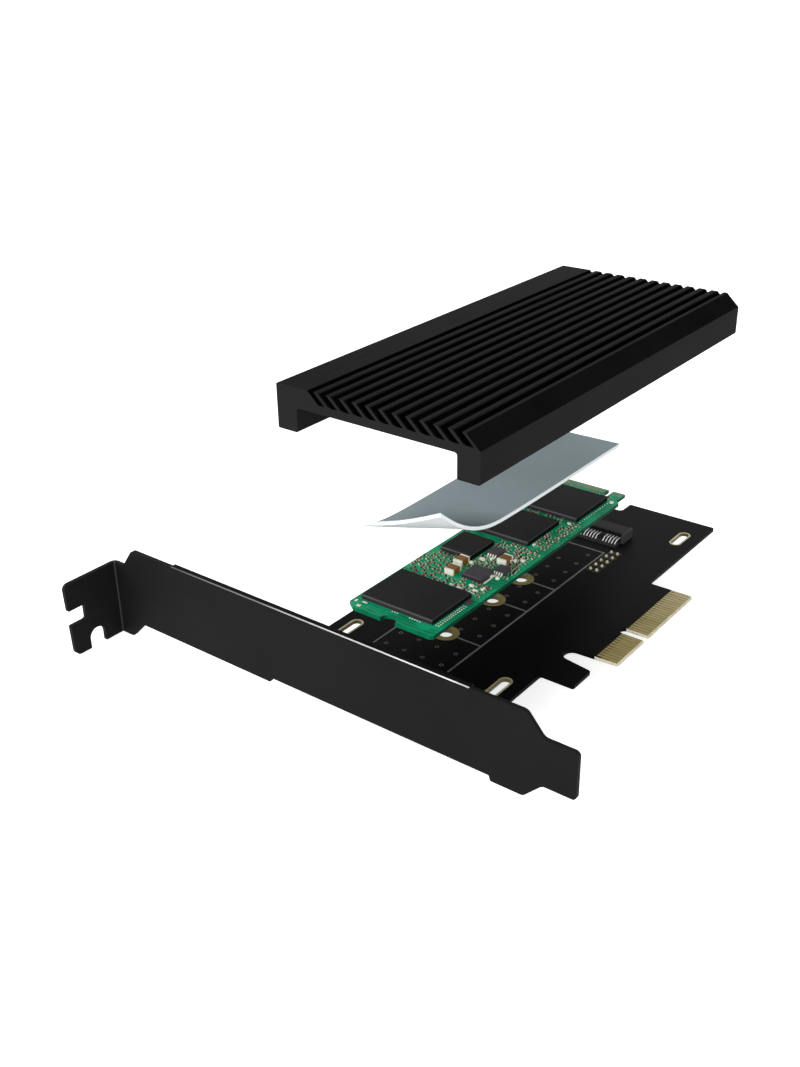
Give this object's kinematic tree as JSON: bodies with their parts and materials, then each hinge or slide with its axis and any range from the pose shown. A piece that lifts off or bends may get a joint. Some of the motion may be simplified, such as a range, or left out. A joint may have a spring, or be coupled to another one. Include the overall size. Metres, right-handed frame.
{
  "type": "nvme adapter card",
  "caption": "Expansion card that carries a small solid-state drive, with slot bracket, keyed edge connector, socket, peeled thermal pad and finned heat sink shown lifted apart.",
  "frame": {"origin": "middle of the key notch, at the outer edge of the edge connector, on the component face of the circuit board", "axes": "+X out of the card along the way it is pushed into its slot, +Y along the board away from the bracket, +Z out of the component face towards the heat sink"},
  "size_m": [0.12, 0.1269, 0.0674],
  "materials": {
    "bracket_black": "satin black powder coat on folded steel",
    "screw_steel": "zinc-plated steel",
    "board_black": "matt black solder mask",
    "gold_plate": "gold flash over copper",
    "white_print": "white screen print",
    "via_grey": "masked via pad",
    "solder": "tinned metal",
    "socket_black": "moulded black plastic",
    "socket_grey": "moulded dark grey plastic",
    "drive_green": "green solder mask",
    "chip_black": "moulded black package",
    "capacitor_tan": "fired ceramic body",
    "chip_part_tan": "fired ceramic body",
    "pad_grey": "smooth grey silicone film",
    "pad_white": "soft white silicone",
    "sink_black": "black anodised"
  },
  "bodies": {
    "root": {"bracket": "bracket_black", "bracket_screws": "screw_steel", "circuit_board": "board_black", "edge_contacts": "gold_plate", "slot_plating": "gold_plate", "seat_rings": "gold_plate", "via_pads": "via_grey", "printed_lines": "white_print", "header_pads": "gold_plate", "header_pins": "solder", "m2_socket": "socket_black", "m2_socket_ends": "socket_grey", "m2_socket_contacts": "solder", "drive_board": "drive_green", "drive_contacts": "gold_plate", "drive_front_memory": "chip_black", "drive_controller": "chip_black", "drive_middle_memory": "chip_black", "drive_rear_memory": "chip_black", "drive_choke": "chip_black", "drive_power_ics": "chip_black", "drive_ic_pins": "solder", "drive_capacitors": "capacitor_tan", "drive_capacitor_ends": "solder", "drive_chip_parts": "chip_part_tan", "drive_chip_ends": "solder", "pad_cover_film": "pad_grey", "thermal_pad": "pad_white", "heat_sink": "sink_black"}
  },
  "joints": []
}
